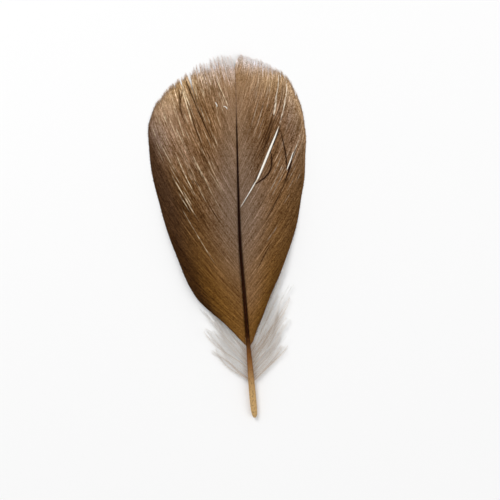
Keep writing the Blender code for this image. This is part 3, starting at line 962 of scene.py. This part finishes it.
# Powers of a web's lightness that tint its red, green and blue where it is shaded, and where it is lit.
SHADE_TINT, LIGHT_TINT = (0.0, 0.28, 0.8), (-0.04, 0.12, 0.40)
# The fine even lines are this many barbs apart, and the ribs of the barbules this many mm.
LINE_STEP, RIB_STEP = 2.6, 0.10


def vane_material(side):
    """Brown webs with soft zones, painted glints and shadows along pale and dark lines, a painted highlight on
    each ridge, the weave of their barbules, and pale loose ends.
    """
    left = side < 0
    tree = Tree("vane_" + SIDES[side])
    field, span, mix = tree.field, tree.span, tree.mix
    times, plus, swing = tree.times, tree.plus, tree.swing
    along, root, end = field("along"), field("root"), field("end_mm")
    run, rank, across = field("run_mm"), field("rank"), field("across")
    barb, lock = field("barb_random"), field("lock_random")

    # Greyer beside the shaft, warmer outside, pale round the upper edge and dark along the lower one.
    colour = mix(span(along, 0.10, 0.50, 0.0, 1.0 if left else 0.9), GREY_BROWN, WARM_BROWN)
    colour = mix(span(root, 0.50, 0.95, 0.0, 0.75), colour, CROWN_TAN)
    colour = mix(times(span(root, 0.44, 0.05), 0.85), colour, AMBER_BASE)
    upper = times(span(root, 0.24, 0.50), span(end, 15.0, 1.0))
    upper = times(upper, span(root, 0.52, 0.85, 1.0, 0.35))
    colour = mix(times(upper, 0.92), colour, PALE_EDGE)
    colour = mix(field("greyer"), colour, LILAC_GREY)
    pale_from, pale_to = (10.5, 2.6) if left else (7.5, 1.0)
    tip = times(span(end, pale_from, pale_to), span(root, 0.50, 0.76))
    if not left:
        tip = times(tip, span(root, 0.84, 0.95, 1.0, 0.45))
    colour = mix(times(tip, 0.75), colour, END_PALE)
    outermost = times(span(end, 5.2, 1.8 if left else 1.1), tip)
    colour = mix(outermost, colour, END_WHITE)
    rim = times(span(root, 0.34, 0.20), span(along, 0.15, 0.70))
    dark_rim = mix(span(root, 0.06, 0.20), RIM_BLACK, RIM_BROWN)
    colour = mix(times(rim, 0.95 if left else 0.35), colour, dark_rim)

    # Long fine streaks that follow the barbs, cloudy patches across them, and the dotted weave of the barbules.
    strands = plus(times(rank, 1.37), times(across, 0.62))
    streaks = tree.noise(tree.vector(times(run, 0.18), strands), 1.0, 1.5)
    patches = tree.noise(tree.vector(times(run, 0.10), times(rank, 0.16), 3.0), 1.0, 2.0)
    dots = tree.noise(tree.vector(times(run, 0.95), strands, 9.5), 1.0, 0.5)
    weave = tree.noise(tree.vector(times(run, 2.9), strands, 4.5), 1.0, 0.0)
    contrast = 1.0 if left else 0.8
    calm = times(span(root, 0.05, 0.30, 0.45, 1.0), span(root, 0.72, 0.92, 1.0, 0.55))
    quiet = times(calm, span(along, 0.05, 0.55, 0.45 * contrast, 1.35 * contrast))
    dotted = times(calm, span(along, 0.1, 0.6, 0.8 * contrast, 2.2 if left else 1.2))
    uneven = plus(swing(streaks, 2.0), swing(barb, 0.22), swing(lock, 0.14))
    uneven = plus(times(uneven, quiet), swing(patches, 0.40), swing(dots, dotted))
    # Pale threads stand out more than dark ones.
    uneven = tree.math("MAXIMUM", uneven, times(uneven, 0.40))
    woven = span(along, 0.2, 0.6, 1.1, 1.2 if left else 1.45)
    # Fine even lines from barb to barb, clearest in the inner half.
    phase = plus(rank, times(across, 0.7), times(patches, 6.0))
    lines = tree.math("SINE", times(phase, 2 * math.pi / LINE_STEP))
    lines = times(lines, span(along, 0.3, 0.9, 0.11, 0.07 if left else 0.11))
    uneven = plus(uneven, swing(weave, woven), lines)
    light = plus(uneven, plus(field("lighter"), 0.955))
    # Webs darken towards the barb's own edges, and a painted highlight lies along its ridge.
    off_ridge = tree.math("ABSOLUTE", across)
    light = times(light, span(off_ridge, 0.35, 1.0, 1.06, 0.76))
    light = times(light, span(off_ridge, 0.32, 0.0, 1.0, 1.24))
    light = times(light, plus(field("streak"), 1.0))
    light = tree.math("MAXIMUM", light, 0.15)
    # Shaded webs are also warmer, and lit ones creamier.
    shaded, lit = tree.math("MINIMUM", light, 1.0), tree.math("MAXIMUM", light, 1.0)
    tint = tree.new("ShaderNodeCombineColor")
    for in_shade, in_light, socket in zip(SHADE_TINT, LIGHT_TINT, tint.inputs):
        cast = times(tree.math("POWER", shaded, in_shade), tree.math("POWER", lit, in_light))
        tree.put(times(light, cast), socket)
    colour = mix(1.0, colour, tint.outputs[0], "MULTIPLY")

    # Painted glints along the bright lines are beaded by the weave, and the dark lines are painted shadow.
    glint_and_shadow, beads = field("glint_and_shadow"), span(dots, 0.38, 0.60, 0.35, 1.35)
    bright = times(tree.math("MAXIMUM", glint_and_shadow, 0.0), beads, clamp=True)
    colour = mix(bright, colour, GLINT_CREAM[side])
    shadow = times(tree.math("MAXIMUM", times(glint_and_shadow, -1.0), 0.0), 0.95, clamp=True)
    colour = mix(shadow, colour, SHADOW_DARK)
    pale = span(root, 0.30, 0.62, 0.04, 1.0 if left else 0.8)
    pale = times(span(field("loose"), 0.0, 0.45), pale)
    colour = mix(pale, colour, LOOSE_WHITE)

    # Barbules: fine oblique ribs on both sides of each barb.
    slanted = tree.math("SUBTRACT", run, times(off_ridge, 0.18))
    ribs = tree.math("SINE", times(slanted, 2 * math.pi / RIB_STEP))
    tree.bump(plus(times(ribs, 0.35), times(streaks, 0.8)), 0.35, 0.00003)
    return tree.finished(colour, span(streaks, 0.3, 0.7, 0.66, 0.50), 0.05)


def shaft_material():
    """Horn, pale at the quill, nearly black along the vanes, tan at the tip, with specks and a fine grain."""
    tree = Tree("shaft_horn")
    y, turn = tree.field("y_mm"), tree.field("turn")
    colour = srgb(196, 160, 108)
    for low, high, further in (
        (5.0, 20.0, srgb(128, 82, 42)),
        (17.0, 27.0, srgb(36, 11, 1)),
        (36.0, 56.0, srgb(24, 4, 0)),
        (89.0, 100.0, srgb(134, 104, 80)),
    ):
        colour = tree.mix(tree.span(y, low, high), colour, further)
    speckle = tree.noise(tree.vector(tree.times(y, 0.9), tree.times(turn, 1.1)), 1.6, 3.0, 0.7)
    lit = tree.times(tree.span(speckle, 0.58, 0.66), tree.span(y, 62.0, 30.0, 0.0, 0.45))
    colour = tree.mix(lit, colour, srgb(150, 96, 44))
    dark = tree.times(tree.span(speckle, 0.48, 0.36), 0.55)
    colour = tree.mix(dark, colour, srgb(34, 17, 8))
    # Its right flank is a pale line, and it is pale below.
    flank = tree.times(tree.span(tree.math("COSINE", turn), 0.70, 0.95), tree.span(y, 30.0, 46.0))
    colour = tree.mix(tree.times(flank, 0.15), colour, srgb(150, 120, 92))
    below = tree.times(tree.span(tree.math("SINE", turn), -0.2, -0.7), tree.span(y, 14.0, 30.0))
    colour = tree.mix(tree.times(below, 0.7), colour, srgb(186, 158, 122))
    # Painted shade that deepens into the quill's pit.
    colour = tree.mix(tree.field("pit"), colour, srgb(48, 30, 18))
    grain = tree.noise(tree.vector(tree.times(y, 0.35), tree.times(turn, 4.0)), 2.0, 3.0, 0.6)
    tree.bump(grain, 0.25, 0.00006)
    return tree.finished(colour, tree.span(grain, 0.3, 0.7, 0.34, 0.52), 0.03)


def down_material():
    """White fluff, each barb a little greyer or browner than the next, and browner at its root."""
    tree = Tree("down")
    along, barb, cloud = tree.field("along"), tree.field("barb_random"), tree.grain(900.0)
    colour = tree.mix(tree.span(barb, 0.30, 0.95), srgb(255, 254, 252), srgb(212, 194, 176))
    colour = tree.mix(tree.span(along, 0.22, 0.0, 0.0, 0.6), colour, srgb(166, 138, 112))
    colour = tree.mix(tree.span(along, 0.6, 1.0, 0.0, 0.5), colour, srgb(253, 251, 248))
    colour = tree.mix(tree.span(cloud, 0.50, 0.75, 0.0, 0.20), colour, srgb(206, 188, 170))
    tree.shader.inputs["Sheen Weight"].default_value = 0.15
    return tree.finished(colour, tree.span(cloud, 0.3, 0.7, 0.75, 0.6), 0.2)


def ribbon_material(name, ends, middle):
    """Ribbons for bare barbs and for painted light and shadow: one colour at the ends and another along the
    middle.
    """
    tree = Tree(name)
    bright, fine = tree.math("SINE", tree.times(tree.field("along"), math.pi)), tree.grain(2500.0)
    colour = tree.mix(tree.span(bright, 0.0, 0.35), ends, middle)
    colour = tree.mix(tree.span(fine, 0.5, 0.7, 0.0, 0.3), colour, ends)
    return tree.finished(colour, tree.span(fine, 0.3, 0.7, 0.6, 0.8), 0.05)


make_camera()
make_stage()
down = down_material()
surfaces = {}
for side, seed in ((-1, 11), (1, 23)):
    word, material = SIDES[side], vane_material(side)
    mesh, barbs = make_vane(side, seed)
    surfaces[side] = barbs["points"]
    vane = add_piece("vane_" + word, mesh, material)
    if side < 0:
        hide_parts("feather")
    add_piece("fringe_" + word, make_fringe(side, barbs, seed + 1), material)
    add_piece("down_" + word, make_down(side, seed + 2), down)
add_piece("shaft", make_shaft(), shaft_material())
# The pale material serves fluff and the painted light in the slits, the dark one loose barbs and the painted
# shadow by a gap, and the brown one a painted shadow line.
ribbon_materials = {
    "pale": ribbon_material("pale_barb_and_slit_light", srgb(218, 194, 164), srgb(255, 250, 240)),
    "brown": ribbon_material("brown_shadow_barb", srgb(136, 102, 70), srgb(92, 62, 36)),
    "dark": ribbon_material("dark_barb_and_gap_shadow", srgb(62, 32, 12), srgb(44, 20, 6)),
}
for name, (side, shade, above, rows) in STRANDS_SLIT_LIGHT_AND_SHADOW.items():
    add_piece(name, ribbon_over_vane(name, rows, above, surfaces[side]), ribbon_materials[shade])
